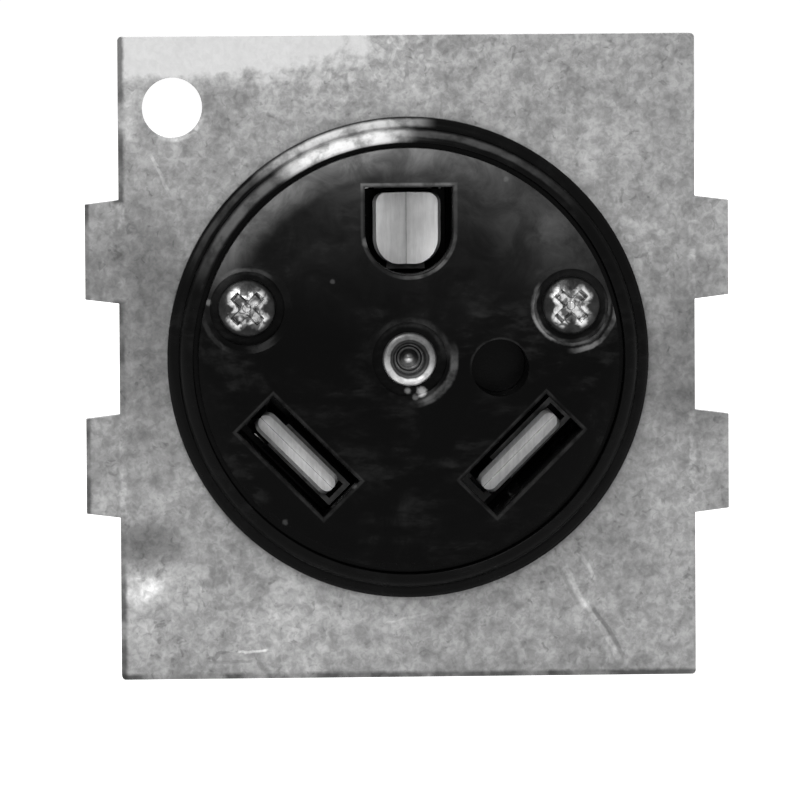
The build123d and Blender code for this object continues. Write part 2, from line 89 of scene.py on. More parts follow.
# Places on the plate and the face that the finishes refer to
PLATE_EDGE = PLATE_WIDTH / 2
PLATE_TOP = plate_high.z
PLATE_MIDDLE_Y = (plate_low.y + plate_high.y) / 2
HOLE_X, HOLE_Z, HOLE_RADIUS = -27.7 * MM, 29.7 * MM, 3.57 * MM
TAB_MIDDLE, TAB_HALF = 12.7 * MM, 6.1 * MM
SCREW_X, SCREW_Z = 19.15 * MM, 6.15 * MM
SINK_RADIUS, LIP_RADIUS = 4.4 * MM, 5.3 * MM
BLADE_X, BLADE_Z, BLADE_ANGLE = 13.2 * MM, -11.4 * MM, math.radians(45)
BLADE_HALF_LENGTH, BLADE_HALF_WIDTH = 7.4 * MM, 3.25 * MM
EARTH_Z, EARTH_RADIUS = 15.15 * MM, 5.45 * MM
RECESS_X, RECESS_Z, RECESS_RADIUS = 10.7 * MM, -1.1 * MM, 3.4 * MM
COVER_RADIUS, RIM_RADIUS, LEDGE_RADIUS = 24.9 * MM, 26.4 * MM, 27.85 * MM
CONTACT_LIP_Y = -1.2 * MM

# The zinc: tone, share of metal, relief of its spangle, outlines of stains and scratches
ZINC_TONE, ZINC_METALLIC, SPANGLE_DEPTH = 0.3, 0.35, 0.05 * MM
STAIN_FADE, STAIN_RAGGED, STAIN_GRAIN = 0.7, 0.6, 4 * MM
SCRATCH_WANDER = 1.2 * MM
# Shares of the tone: painted shade on the sheared edges, painted highlight where the tabs bend,
# painted light on the lit side of the corner hole
EDGE_SHADE, BEND_HIGHLIGHT, LIT_HOLE_EDGE = -0.75, 0.4, 0.6

# Stains on the plate: x, z, half width and half height in mm, share of the tone
PLATE_STAINS = (
    (-31.5, 5, 5, 15, -0.42),
    (-24, 10, 7, 9, -0.08),
    (32.5, 22, 3, 17, -0.14),
    (33, 0, 6, 9, -0.46),
    (30, -22, 6, 14, -0.06),
    (-31, -21.8, 4.4, 2.2, -0.55),
    (-25, 15.5, 2.6, 4.5, 0.12),
    (22, -28, 9, 8, -0.08),
    (-18, -32, 16, 5, 0.16),
    (10, -33, 14, 4, 0.08),
    (36, -12.7, 3, 7, -0.14),
)

# Scratches on the plate: from (x, z) to (x, z) and half width in mm, share of the tone
PLATE_SCRATCHES = (
    ((18.2, -24.2), (21.4, -30.6), 0.4, 0.34),
    ((20.6, -28.6), (25.1, -36.6), 0.42, 0.4),
    ((21.5, -29.4), (25.9, -36.4), 0.36, -0.34),
    ((17.6, -24.6), (20.6, -30.4), 0.3, -0.22),
    ((20.1, -23.2), (22.3, -27.0), 0.34, 0.26),
    ((-30.4, 24.4), (-27.9, 19.6), 0.28, 0.45),
    ((-20.6, -34.9), (-16.6, -34.7), 0.2, 0.8),
    ((-24.5, -36.2), (-18.0, -35.9), 0.25, -0.2),
    ((-3.0, -31.5), (2.5, -30.6), 0.18, 0.2),
)

# The black moulding: its tone, and the specular level and roughness of body and face
BLACK_TONE = 0.0012
BODY_GLOSS, FACE_GLOSS = (0.06, 0.22), (0.04, 0.24)
HANDLING_ROUGHNESS, MOULD_GRAIN_DEPTH = 0.2, 0.006 * MM
# Gains of the painted highlights round the windows, and the extra on the lit sides of the earth
# window's arch
WINDOW_EDGE_GAIN, ARCH_GAIN, LIT_ARCH_GAIN = 0.024, 0.03, 0.1

# Painted highlight arcs: x, z, radius, half width in mm, angle, where it starts and is full, gain
RIM_HIGHLIGHTS = (
    (0.0, 0.0, RIM_RADIUS, 1.15, 107, 0.94, 0.992, 0.85),
    (0.0, 0.0, RIM_RADIUS, 0.75, 122, 0.76, 0.97, 0.12),
    (0.0, 0.0, RIM_RADIUS + 0.2 * MM, 0.5, 84, 0.7, 0.97, 0.07),
    (0.0, 0.0, LEDGE_RADIUS, 0.65, 107, 0.91, 0.985, 0.72),
    (0.0, 0.0, LEDGE_RADIUS, 0.45, 125, 0.8, 0.97, 0.05),
)
FACE_HIGHLIGHTS = (
    (SCREW_X, SCREW_Z, LIP_RADIUS, 0.4, -42, 0.55, 0.95, 0.18),
    (SCREW_X, SCREW_Z, SINK_RADIUS, 0.5, 196, 0.55, 0.95, 0.3),
    (SCREW_X, SCREW_Z, SINK_RADIUS, 0.4, -60, 0.0, 0.8, 0.09),
    (-SCREW_X, SCREW_Z, SINK_RADIUS, 0.6, 97, 0.6, 0.97, 0.08),
    (-SCREW_X, SCREW_Z, LIP_RADIUS, 0.4, 200, 0.2, 0.9, 0.02),
    (0.0, 0.0, LIP_RADIUS, 0.6, -35, 0.5, 0.95, 0.1),
    (0.0, 0.0, SINK_RADIUS, 0.8, 75, 0.1, 0.9, 0.035),
    (RECESS_X, RECESS_Z, RECESS_RADIUS, 0.3, 110, 0.0, 0.9, 0.02),
)

# Pale specks on the face: x, z and radius in mm, gain
FACE_SPECKS = (
    (-0.2, -3.75, 0.34, 0.3),
    (1.45, -3.85, 0.5, 0.55),
    (0.6, -4.5, 0.3, 0.1),
    (-23.7, 6.9, 0.35, 0.12),
    (-6.7, -14.9, 0.3, 0.06),
    (-14.8, -19.2, 0.3, 0.05),
    (-4.9, 13.9, 0.55, 0.14),
    (16.9, 15.3, 1.7, 0.03),
    (11.5, 21.2, 0.3, 0.05),
    (-9.1, 9.3, 0.25, 0.05),
)

# Plated metals: tone and roughness
ZINC_PLATE, SPRING_STEEL = (0.6, 0.3), (0.07, 0.45)
# The contact's tone, the share of painted shade that darkens it deeper in its slot, and where
# that shade starts and is full
CONTACT_TONE, DEPTH_SHADE = 0.97, -0.97
DEPTH_SHADE_START, DEPTH_SHADE_END = CONTACT_LIP_Y + 1.6 * MM, CONTACT_LIP_Y + 2.6 * MM
CROSS_TONE, SHANK_TONE = 0.66, 0.4

# Edge rounding of the stamped and the moulded pieces
STAMPED_ROUNDING, MOULDED_ROUNDING = 0.2 * MM, 0.14 * MM
ROUNDING_SEGMENTS = 2
WELD_DISTANCE = 0.001 * MM
FLAT_ANGLE, SHARP_ANGLE = math.radians(0.6), math.radians(35)

# The cover screws: number 8, 32 threads to the inch
HEAD_HEIGHT, HEAD_RIM = 1.9 * MM, 0.9 * MM
HEAD_RADIUS = (screw_high.x - screw_low.x) / 2
HEAD_EDGE_ROUNDING = 0.08 * MM
DOME_SHARES = (0.995, 0.97, 0.92, 0.84, 0.72, 0.58, 0.42, 0.24, 0.1)
SHANK_RADIUS = 1.75 * MM
SHANK_LENGTH = screw_high.y - screw_low.y - HEAD_HEIGHT
THREAD_PITCH, THREAD_DEPTH = 0.794 * MM, 0.42 * MM
THREAD_SLOPE, CREST_FLAT = 1.35, 0.2
TIP_TURNS, TIP_TAPER = 0.7, 0.35 * MM
SCREW_SEGMENTS, RINGS_PER_TURN = 48, 8
SCREW_SHARP_ANGLE = math.radians(38)

# Their cross recess: half length and half width of a wing at the top and at the floor
WING_TOP = (2.5 * MM, 0.72 * MM)
WING_FLOOR = (1.75 * MM, 0.42 * MM)
CONE_TOP_RADIUS, CONE_FLOOR_RADIUS, CONE_SEGMENTS = 1.25 * MM, 0.45 * MM, 16
RECESS_DEPTH, CUT_EXTRA = 1.35 * MM, 0.3 * MM


class Finish:
    """A procedural material. Each method adds nodes and returns the output to use."""

    def __init__(self, name, metallic=0.0, roughness=0.5, specular=0.5):
        self.material = bpy.data.materials.new(name)
        self.material.use_nodes = True
        self.tree = self.material.node_tree
        self.shader = self.tree.nodes["Principled BSDF"]
        self.shader.inputs["Metallic"].default_value = metallic
        self.shader.inputs["Roughness"].default_value = roughness
        self.shader.inputs["Specular IOR Level"].default_value = specular
        self.place = self.tree.nodes.new("ShaderNodeTexCoord").outputs["Object"]

    def node(self, kind, inputs, **settings):
        """A node with its inputs linked where they are outputs, and written where they aren't."""
        made = self.tree.nodes.new(kind)
        for name, value in settings.items():
            setattr(made, name, value)
        for key, value in inputs.items():
            if isinstance(value, bpy.types.NodeSocket):
                self.tree.links.new(value, made.inputs[key])
            else:
                made.inputs[key].default_value = value
        return made

    def set(self, name, value):
        """Drives one of the shader's inputs."""
        self.tree.links.new(value, self.shader.inputs[name])

    def bump(self, height, depth):
        """Relief that is drawn and not modelled, as deep as given."""
        made = self.node("ShaderNodeBump", {"Height": height, "Distance": depth, "Strength": 1.0})
        self.set("Normal", made.outputs["Normal"])

    def math(self, operation, first, second=0.0):
        return self.node("ShaderNodeMath", {0: first, 1: second}, operation=operation).outputs[0]

    def add(self, first, second):
        return self.math("ADD", first, second)

    def times(self, first, *others):
        for other in others:
            first = self.math("MULTIPLY", first, other)
        return first

    def inverse(self, mask):
        return self.add(1.0, self.times(mask, -1.0))

    def lift(self, tone, mask, share):
        """The tone made lighter or darker by a share of itself inside a mask."""
        return self.times(tone, self.add(1.0, self.times(mask, share)))

    def paint(self, tone, mask, gain):
        """The tone with an amount added inside a mask."""
        return self.add(tone, self.times(mask, gain))

    def vector(self, operation, first, second=(0.0, 0.0, 0.0), output=0):
        made = self.node("ShaderNodeVectorMath", {0: first, 1: second}, operation=operation)
        return made.outputs[output]

    def axis(self, name, place=None):
        """One coordinate of the place, in metres."""
        made = self.node("ShaderNodeSeparateXYZ", {"Vector": place or self.place})
        return made.outputs[name]

    def spread(self, value, low, high, out_low=0.0, out_high=1.0):
        """A value eased from one range into another, held at the ends."""
        inputs = {
            "Value": value,
            "From Min": low,
            "From Max": high,
            "To Min": out_low,
            "To Max": out_high,
        }
        made = self.node("ShaderNodeMapRange", inputs, interpolation_type="SMOOTHSTEP")
        return made.outputs["Result"]

    def noise(self, size, detail=3.0, roughness=0.5, distortion=0.0, place=None):
        """Cloudy noise from 0 to 1 whose blotches are about that many metres across."""
        inputs = {
            "Vector": place or self.place,
            "Scale": 1.0 / size,
            "Detail": detail,
            "Roughness": roughness,
            "Distortion": distortion,
        }
        return self.node("ShaderNodeTexNoise", inputs).outputs["Fac"]

    def shaken(self, value, grain, reach):
        """A value moved up and down by noise, to break an even outline."""
        return self.add(value, self.times(self.add(self.noise(grain, 4, 0.6), -0.5), reach))

    def stretched(self, scale, turn=(0.0, 0.0, 0.0), place=None):
        """The place, scaled along each axis and then turned, for streaks and strokes."""
        inputs = {"Vector": place or self.place, "Rotation": turn, "Scale": scale}
        return self.node("ShaderNodeMapping", inputs).outputs["Vector"]

    def about(self, x, z, angle=0.0):
        """The place on the front seen from a point, turned so that the angle lies along X."""
        moved = self.vector("SUBTRACT", self.place, (x, 0.0, z))
        return self.stretched((1.0, 0.0, 1.0), (0.0, angle, 0.0), moved)

    def radius(self, x=0.0, z=0.0):
        """Distance on the front from a point."""
        return self.vector("LENGTH", self.about(x, z), output="Value")

    def facing(self, x, z, degrees, low, high):
        """1 on the side of a point that lies at that angle, 0 on the far side."""
        angle = math.radians(degrees)
        unit = self.vector("NORMALIZE", self.about(x, z))
        aim = (math.cos(angle), 0.0, math.sin(angle))
        return self.spread(self.vector("DOT_PRODUCT", unit, aim, "Value"), low, high)

    def line(self, distance, offset, half_width):
        """1 along the line where a distance has a value."""
        away = self.math("ABSOLUTE", self.add(distance, -offset))
        return self.spread(away, half_width, 0.4 * half_width)

    def spot(self, x, z, half_x, half_z, soft=0.5, ragged=0.0, grain=3 * MM):
        """1 inside an oval on the front, fading outwards, with an edge broken by noise."""
        flat = self.stretched((1.0 / half_x, 0.0, 1.0 / half_z), place=self.about(x, z))
        length = self.shaken(self.vector("LENGTH", flat, output="Value"), grain, ragged)
        return self.spread(length, 1.0 + soft, 1.0 - soft)

    def stroke(self, start, end, half_width, wander):
        """1 along a scratch on the front, between two (x, z) points."""
        (x0, z0), (x1, z1) = start, end
        length = math.hypot(x1 - x0, z1 - z0)
        turned = self.about((x0 + x1) / 2, (z0 + z1) / 2, math.atan2(z1 - z0, x1 - x0))
        along = self.math("ABSOLUTE", self.axis("X", turned))
        across = self.math("ABSOLUTE", self.shaken(self.axis("Z", turned), 4 * MM, wander))
        inside = self.spread(across, half_width, 0.35 * half_width)
        return self.times(inside, self.spread(along, 0.5 * length, 0.35 * length))

    def paint_highlight_arcs(self, tone, arcs, grain, reach, broken):
        """The tone with the rows of a table of painted highlight arcs, each broken by noise."""
        for x, z, radius, half_width, degrees, low, high, gain in arcs:
            around = self.shaken(self.radius(x, z), grain, reach)
            ring = self.line(around, radius, half_width * MM)
            side = self.facing(x, z, degrees, low, high)
            tone = self.paint(tone, self.times(ring, side, broken), gain)
        return tone

    def outside_box(self, x, z, half_u, half_v, angle):
        """Distance outwards from a slanted rectangle on the front."""
        turned = self.about(x, z, angle)
        u = self.add(self.math("ABSOLUTE", self.axis("X", turned)), -half_u)
        v = self.add(self.math("ABSOLUTE", self.axis("Z", turned)), -half_v)
        return self.math("MAXIMUM", u, v)

    def outside_arch(self, z, radius):
        """Distance outwards from a window that is square above and round below."""
        turned = self.about(0.0, z)
        across, up = self.axis("X", turned), self.axis("Z", turned)
        below = self.math("MINIMUM", up, 0.0)
        squares = self.add(self.times(across, across), self.times(below, below))
        round_part = self.add(self.math("SQRT", squares), -radius)
        return self.math("MAXIMUM", round_part, self.add(up, -radius))


def zinc_grain(zinc, curls, fine):
    """Tone of clean zinc as a share of 1: curls, fine grain, clouds, a slow drift and specks."""
    # Noise, where its useful range starts and ends, swing of the tone
    layers = (
        (curls, 0.28, 0.72, 0.26),
        (fine, 0.28, 0.72, 0.2),
        (zinc.noise(9 * MM, 3, 0.5), 0.3, 0.7, 0.13),
        (zinc.noise(34 * MM, 2, 0.5), 0.35, 0.65, 0.05),
    )
    tone = 1.0
    for grain, low, high, swing in layers:
        tone = zinc.times(tone, zinc.spread(grain, low, high, 1.0 - swing, 1.0 + swing))
    dark_specks = zinc.spread(zinc.noise(1.2 * MM, 2, 0.5, 0.8), 0.38, 0.26)
    pale_specks = zinc.spread(zinc.noise(1.4 * MM, 2, 0.5, 0.5), 0.68, 0.8)
    return zinc.lift(zinc.lift(tone, dark_specks, -0.34), pale_specks, 0.22)


def top_left_reflection_and_patch(zinc, tone, front, fine):
    """The top left of the plate's front, painted bright and even as a reflection of the light
    from the upper left, and a pale patch near the bottom left corner.
    """
    even_low, even_high = 1.95, 2.15
    # Painted reflection that breaks into flecks towards the right and reaches the top left
    # corner; the patch lower down is a pale mark on the zinc
    reflection_flecks = zinc.spot(-9 * MM, 36.5 * MM, 17 * MM, 5 * MM, 0.6, 0.5, 4 * MM)
    reflection_flecks = zinc.times(reflection_flecks, zinc.spread(zinc.noise(1.7 * MM, 2, 0.5, 1.2), 0.47, 0.6))
    corner = zinc.spot(-34 * MM, 31 * MM, 2.6 * MM, 6 * MM, 0.4, 0.7)
    patch = zinc.spot(-31.5 * MM, -27.5 * MM, 3.0 * MM, 1.7 * MM, 0.6, 0.6)
    for mask, share in ((reflection_flecks, 0.36), (corner, 0.3), (patch, 0.95)):
        tone = zinc.lift(tone, zinc.times(mask, front), share)
    # Painted reflection: the tone in a band at the top left is replaced by a bright even one
    reflection_band = zinc.spot(-26 * MM, 38.3 * MM, 22 * MM, 5.4 * MM, 0.16, 1.0, 2.2 * MM)
    even = zinc.spread(fine, 0.25, 0.75, even_low, even_high)
    difference = zinc.add(even, zinc.times(tone, -1.0))
    return zinc.add(tone, zinc.times(reflection_band, front, difference))


def plate_edges(zinc, tone):
    """Painted shade along the sheared left, tab and bottom edges, a painted highlight where the
    tabs bend at their roots, and painted light on the lit side of the corner hole.
    """
    across = zinc.shaken(zinc.axis("X"), 1.2 * MM, 0.5 * MM)
    up = zinc.shaken(zinc.axis("Z"), 1.2 * MM, 0.5 * MM)
    breaks = zinc.spread(zinc.noise(5 * MM, 3), 0.38, 0.58, 0.35, 1.0)
    from_tab = zinc.add(zinc.math("ABSOLUTE", zinc.axis("Z")), -TAB_MIDDLE)
    at_tab = zinc.spread(zinc.math("ABSOLUTE", from_tab), TAB_HALF, 0.9 * TAB_HALF)
    # Painted shade along the sheared edges, broken by noise
    left_edge_shade = zinc.times(zinc.line(across, -PLATE_EDGE, 0.9 * MM), breaks, zinc.inverse(at_tab))
    tab_edge_shade = zinc.times(zinc.line(across, cad_low.x, 0.7 * MM), breaks)
    bottom_edge_shade = zinc.times(zinc.line(up, -PLATE_TOP, 0.9 * MM), breaks)
    for mask in (left_edge_shade, tab_edge_shade, bottom_edge_shade):
        tone = zinc.lift(tone, mask, EDGE_SHADE)
    # Painted highlight along the bend at the tab roots
    root = zinc.line(zinc.math("ABSOLUTE", zinc.axis("X")), PLATE_EDGE - 0.3 * MM, 0.6 * MM)
    rub = zinc.spread(zinc.noise(1.5 * MM, 3), 0.45, 0.6)
    tone = zinc.lift(tone, zinc.times(root, rub, at_tab), BEND_HIGHLIGHT)
    hole_edge = zinc.line(zinc.radius(HOLE_X, HOLE_Z), HOLE_RADIUS, 0.6 * MM)
    lit_side = zinc.facing(HOLE_X, HOLE_Z, -62, 0.35, 0.95)
    return zinc.lift(tone, zinc.times(hole_edge, lit_side), LIT_HOLE_EDGE)


def galvanised_steel():
    """Zinc with a fine spangle, stained and scratched as on the photograph's plate."""
    zinc = Finish("galvanised_steel", metallic=ZINC_METALLIC)
    curls = zinc.noise(1.9 * MM, 3, 0.5, 0.5)
    fine = zinc.noise(0.7 * MM, 3, 0.6, 0.6)
    front = zinc.spread(zinc.axis("Y"), plate_high.y, PLATE_MIDDLE_Y)
    tone = zinc_grain(zinc, curls, fine)
    for x, z, half_x, half_z, share in PLATE_STAINS:
        oval = (x * MM, z * MM, half_x * MM, half_z * MM)
        mask = zinc.spot(*oval, STAIN_FADE, STAIN_RAGGED, STAIN_GRAIN)
        tone = zinc.lift(tone, mask, share)
    # Painted reflection of the light at the top left of the front
    tone = top_left_reflection_and_patch(zinc, tone, front, fine)
    for start, end, half_width, share in PLATE_SCRATCHES:
        ends = [tuple(value * MM for value in point) for point in (start, end)]
        mask = zinc.stroke(*ends, half_width * MM, SCRATCH_WANDER)
        tone = zinc.lift(tone, zinc.times(mask, front), share)
    # Painted shade on the edges and painted highlights at the tab roots and the corner hole
    tone = plate_edges(zinc, tone)
    zinc.set("Base Color", zinc.times(tone, ZINC_TONE))
    zinc.set("Roughness", zinc.spread(curls, 0.3, 0.7, 0.44, 0.62))
    zinc.bump(zinc.add(zinc.times(curls, 0.6), zinc.times(fine, 0.4)), SPANGLE_DEPTH)
    return zinc.material


def black_moulding(name, specular, roughness):
    """Moulded phenolic, nearly black, with handling marks. Returns it and its marks."""
    black = Finish(name, specular=specular)
    haze = black.spread(black.noise(9 * MM, 5, 0.6, 0.6), 0.42, 0.75)
    streaks = black.noise(1.4 * MM, 3, 0.6, place=black.stretched((0.4, 1, 1), (0, 0.8, 0)))
    rubbed = black.times(haze, black.spread(streaks, 0.4, 0.75))
    fine = black.noise(0.5 * MM, 3)
    black.set("Roughness", black.paint(roughness, rubbed, HANDLING_ROUGHNESS))
    black.bump(black.paint(fine, streaks, 0.5), MOULD_GRAIN_DEPTH)
    return black, rubbed


def rim_finish():
    """The moulded body, with painted highlights on the steps of its rim at the upper left."""
    black, rubbed = black_moulding("black_phenolic_body", *BODY_GLOSS)
    tone = black.paint(BLACK_TONE, rubbed, 0.008)
    broken = black.spread(black.noise(2.4 * MM, 4, 0.6), 0.3, 0.6, 0.35, 1.0)
    black.set("Base Color", black.paint_highlight_arcs(tone, RIM_HIGHLIGHTS, 2 * MM, 0.25 * MM, broken))
    return black.material


def face_tone_with_painted_light(black, rubbed):
    """Tone of the bare face: handling marks, painted sheen that thickens upwards, a painted
    highlight on the upper left edge and painted shade in the recess.
    """
    upper_sheen = black.spread(black.shaken(black.axis("Z"), 14 * MM, 14 * MM), 0.0, 24 * MM)
    cloud = black.spread(black.noise(5 * MM, 5, 0.65, 0.8), 0.3, 0.75, 0.35, 1.0)
    away = black.radius()
    edge = black.spread(black.shaken(away, 3 * MM, 1.2 * MM), 21.6 * MM, COVER_RADIUS)
    shoulder = black.spread(black.shaken(away, 6 * MM, 5 * MM), 14 * MM, 23 * MM)
    upper_left = black.facing(0.0, 0.0, 112, 0.55, 0.97)
    upper_right = black.facing(0.0, 0.0, 68, 0.5, 0.95)
    tone = black.paint(BLACK_TONE, rubbed, 0.022)
    # Painted light: sheen thickening upwards, a highlight on the upper left of the rounded edge,
    # and a fainter sheen on the upper right shoulder
    layers = (
        ((upper_sheen, cloud), 0.02),
        ((edge, upper_left, cloud), 0.22),
        ((shoulder, upper_right, cloud), 0.05),
    )
    for masks, gain in layers:
        tone = black.paint(tone, black.times(*masks), gain)
    # Painted shade inside the blind recess
    recess_floor_shade = black.spread(black.radius(RECESS_X, RECESS_Z), RECESS_RADIUS, 0.95 * RECESS_RADIUS)
    return black.lift(tone, recess_floor_shade, -0.85)


def window_edge_highlights(black, tone, broken):
    """The tone with painted highlights as pale broken lines round the two blade windows and the
    earth window.
    """
    for side in (-1, 1):
        edge = black.outside_box(
            side * BLADE_X, BLADE_Z, BLADE_HALF_LENGTH, BLADE_HALF_WIDTH, side * BLADE_ANGLE
        )
        mask = black.times(black.line(edge, 0.0, 0.28 * MM), broken)
        tone = black.paint(tone, mask, WINDOW_EDGE_GAIN)
    arch = black.line(black.outside_arch(EARTH_Z, EARTH_RADIUS), 0.05 * MM, 0.3 * MM)
    # Painted highlight, brighter on the lit top and lower right of the earth window's arch
    top = black.spread(black.axis("Z"), EARTH_Z + 0.8 * EARTH_RADIUS, EARTH_Z + EARTH_RADIUS)
    low_right = black.facing(0.0, EARTH_Z, -50, 0.55, 0.95)
    arch_gain = black.paint(ARCH_GAIN, black.add(top, low_right), LIT_ARCH_GAIN)
    return black.paint(tone, black.times(arch, broken), arch_gain)


def face_finish():
    """The moulded face: duller, with painted sheen above, painted highlights on its edges and a
    few bright specks.
    """
    black, rubbed = black_moulding("black_phenolic_face", *FACE_GLOSS)
    broken = black.spread(black.noise(2.2 * MM, 4, 0.6), 0.32, 0.66, 0.15, 1.0)
    tone = window_edge_highlights(black, face_tone_with_painted_light(black, rubbed), broken)
    # Painted highlights on the lips of the screw and rivet sinks and of the recess
    tone = black.paint_highlight_arcs(tone, FACE_HIGHLIGHTS, 1.6 * MM, 0.5 * MM, broken)
    for x, z, size, gain in FACE_SPECKS:
        mask = black.spot(x * MM, z * MM, size * MM, size * MM, 0.5, 1.3, 0.6 * MM)
        tone = black.paint(tone, mask, gain)
    black.set("Base Color", tone)
    return black.material


def bright_plate(name, tone, roughness):
    """Zinc or oiled spring steel: a soft shine with small dents and dull patches."""
    metal = Finish(name, metallic=1.0)
    dull = metal.noise(1.6 * MM, 4, 0.6, 0.5)
    fine = metal.noise(0.4 * MM, 3)
    patches = metal.spread(dull, 0.3, 0.7, 0.75, 1.0)
    dents = metal.spread(fine, 0.3, 0.7, 0.9, 1.05)
    metal.set("Base Color", metal.times(patches, dents, tone))
    metal.set("Roughness", metal.spread(dull, 0.3, 0.7, roughness + 0.15, roughness))
    metal.bump(metal.add(fine, dull), 0.01 * MM)
    return metal.material


def rivet_metal():
    """A bright rolled end round a bore painted dark as shade, with a thin ring and a dome in it,
    all lighter on their lower sides as painted highlights.
    """
    metal = Finish("plated_rivet", metallic=0.85)
    dull = metal.noise(1.2 * MM, 4, 0.6, 0.5)
    away = metal.shaken(metal.radius(), 0.8 * MM, 0.25 * MM)
    below = metal.facing(0.0, 0.0, -92, -0.5, 1.0)
    # Mask, tone, and the painted highlight added on the side facing down; the grooves between the
    # zones stay dark as painted shade
    zones = (
        (metal.spread(away, 2.2 * MM, 2.45 * MM), 0.13, 0.42),
        (metal.spread(away, 2.3 * MM, 2.1 * MM), 0.03, 0.05),
        (metal.line(away, 1.5 * MM, 0.3 * MM), 0.07, 0.0),
        (metal.spread(away, 1.15 * MM, 0.85 * MM), 0.06, 0.45),
    )
    tone = 0.0
    for mask, plain, lit in zones:
        tone = metal.add(tone, metal.times(metal.paint(plain, below, lit), mask))
    metal.set("Base Color", metal.times(tone, metal.spread(dull, 0.3, 0.7, 0.65, 1.1)))
    metal.set("Roughness", metal.spread(dull, 0.3, 0.7, 0.5, 0.34))
    metal.bump(dull, 0.03 * MM)
    return metal.material


def worn_screw(name, shift):
    """A darkened plated screw. Its own origin is the middle of the head's underside."""
    metal = Finish(name, metallic=0.85)
    turned = metal.about(0.0, 0.0, math.radians(45))
    around = metal.radius()
    depth = metal.axis("Y")
    metal.place = metal.vector("ADD", metal.place, (shift, 0.0, shift))
    u = metal.math("ABSOLUTE", metal.axis("X", turned))
    v = metal.math("ABSOLUTE", metal.axis("Z", turned))
    off_cross = metal.shaken(metal.math("MINIMUM", u, v), 0.9 * MM, 1.3 * MM)
    cross = metal.spread(off_cross, 1.35 * MM, 0.75 * MM)
    middle = metal.spread(around, 3.05 * MM, 2.3 * MM)
    on_head = metal.spread(depth, 0.0, -0.3 * MM)
    # Painted shade: the bright cross is made a little darker deep in the recess
    cross_recess_shade = metal.spread(depth, -1.2 * MM, -0.75 * MM)
    jumble = metal.spread(metal.noise(1.0 * MM, 2, 0.5, 0.8), 0.4, 0.64, 0.1, 1.0)
    bright = metal.times(metal.lift(metal.times(cross, middle, on_head), cross_recess_shade, -0.15), jumble)
    coat = metal.spread(metal.noise(1.1 * MM, 4), 0.3, 0.7, 0.012, 0.03)
    tone = metal.paint(coat, metal.inverse(on_head), SHANK_TONE)
    metal.set("Base Color", metal.paint(tone, bright, CROSS_TONE))
    metal.set("Roughness", metal.spread(bright, 0.0, 1.0, 0.42, 0.3))
    metal.bump(metal.noise(0.9 * MM, 3), 0.12 * MM)
    return metal.material


def contact_metal():
    """Plated contact strip with draw lines, bright at its lips and darkened behind them with
    painted shade.
    """
    metal = Finish("contact_metal", metallic=0.3)
    drawn = metal.noise(0.5 * MM, 3, 0.6, place=metal.stretched((1.0, 0.2, 0.15)))
    dull = metal.noise(2.2 * MM, 4, 0.6)
    draw_lines = metal.spread(drawn, 0.3, 0.7, 0.86, 1.04)
    patches = metal.spread(dull, 0.3, 0.7, 0.9, 1.0)
    # Painted shade: the strip turns almost black deeper in the slot behind its lips
    shade_behind = metal.spread(metal.axis("Y"), DEPTH_SHADE_START, DEPTH_SHADE_END)
    shade = metal.lift(metal.times(draw_lines, patches), shade_behind, DEPTH_SHADE)
    metal.set("Base Color", metal.times(shade, CONTACT_TONE))
    metal.set("Roughness", metal.spread(drawn, 0.3, 0.7, 0.46, 0.36))
    metal.bump(metal.add(drawn, dull), 0.012 * MM)
    return metal.material


def dress(names, material):
    """Put one finish on whole pieces of the part."""
    for name in names:
        mesh = nodes[name].data
        mesh.materials.clear()
        mesh.materials.append(material)


def soften_edges(names, width, merge_flat):
    """Round the sharp edges a little, as moulding and tumbling do."""
    for name in names:
        piece = nodes[name]
        weld = piece.modifiers.new("weld", "WELD")
        weld.merge_threshold = WELD_DISTANCE
        if merge_flat:
            flat = piece.modifiers.new("flat", "DECIMATE")
            flat.decimate_type = "DISSOLVE"
            flat.angle_limit = FLAT_ANGLE
        bevel = piece.modifiers.new("bevel", "BEVEL")
        bevel.width = width
        bevel.segments = ROUNDING_SEGMENTS
        bevel.limit_method = "ANGLE"
        bevel.angle_limit = SHARP_ANGLE
        bevel.use_clamp_overlap = True
        piece.modifiers.new("normals", "WEIGHTED_NORMAL").keep_sharp = True


def add_object(name, data):
    made = bpy.data.objects.new(name, data)
    bpy.context.scene.collection.objects.link(made)
    return made


def bridge(work, first, second):
    """Faces between two closed loops of as many vertices."""
    count = len(first)
    for index in range(count):
        after = (index + 1) % count
        work.faces.new((first[index], first[after], second[after], second[index]))


def finished_mesh(work, name):
    """The working mesh with its faces turned outwards, as a mesh of its own."""
    bmesh.ops.recalc_face_normals(work, faces=work.faces)
    mesh = bpy.data.meshes.new(name)
    work.to_mesh(mesh)
    work.free()
    return mesh


def thread_radius(depth, angle):
    """The shank's radius at a depth behind the head, on a helix with a flat crest."""
    turn = (depth / THREAD_PITCH - angle / (2 * math.pi)) % 1.0
    groove = min(1.0, max(0.0, THREAD_SLOPE * (1.0 - abs(2 * turn - 1.0)) - CREST_FLAT))
    start = min(1.0, depth / (2 * THREAD_PITCH))
    tip = min(1.0, max(0.0, (SHANK_LENGTH - depth) / (TIP_TURNS * THREAD_PITCH)))
    return SHANK_RADIUS - THREAD_DEPTH * groove * start - TIP_TAPER * (1.0 - tip)


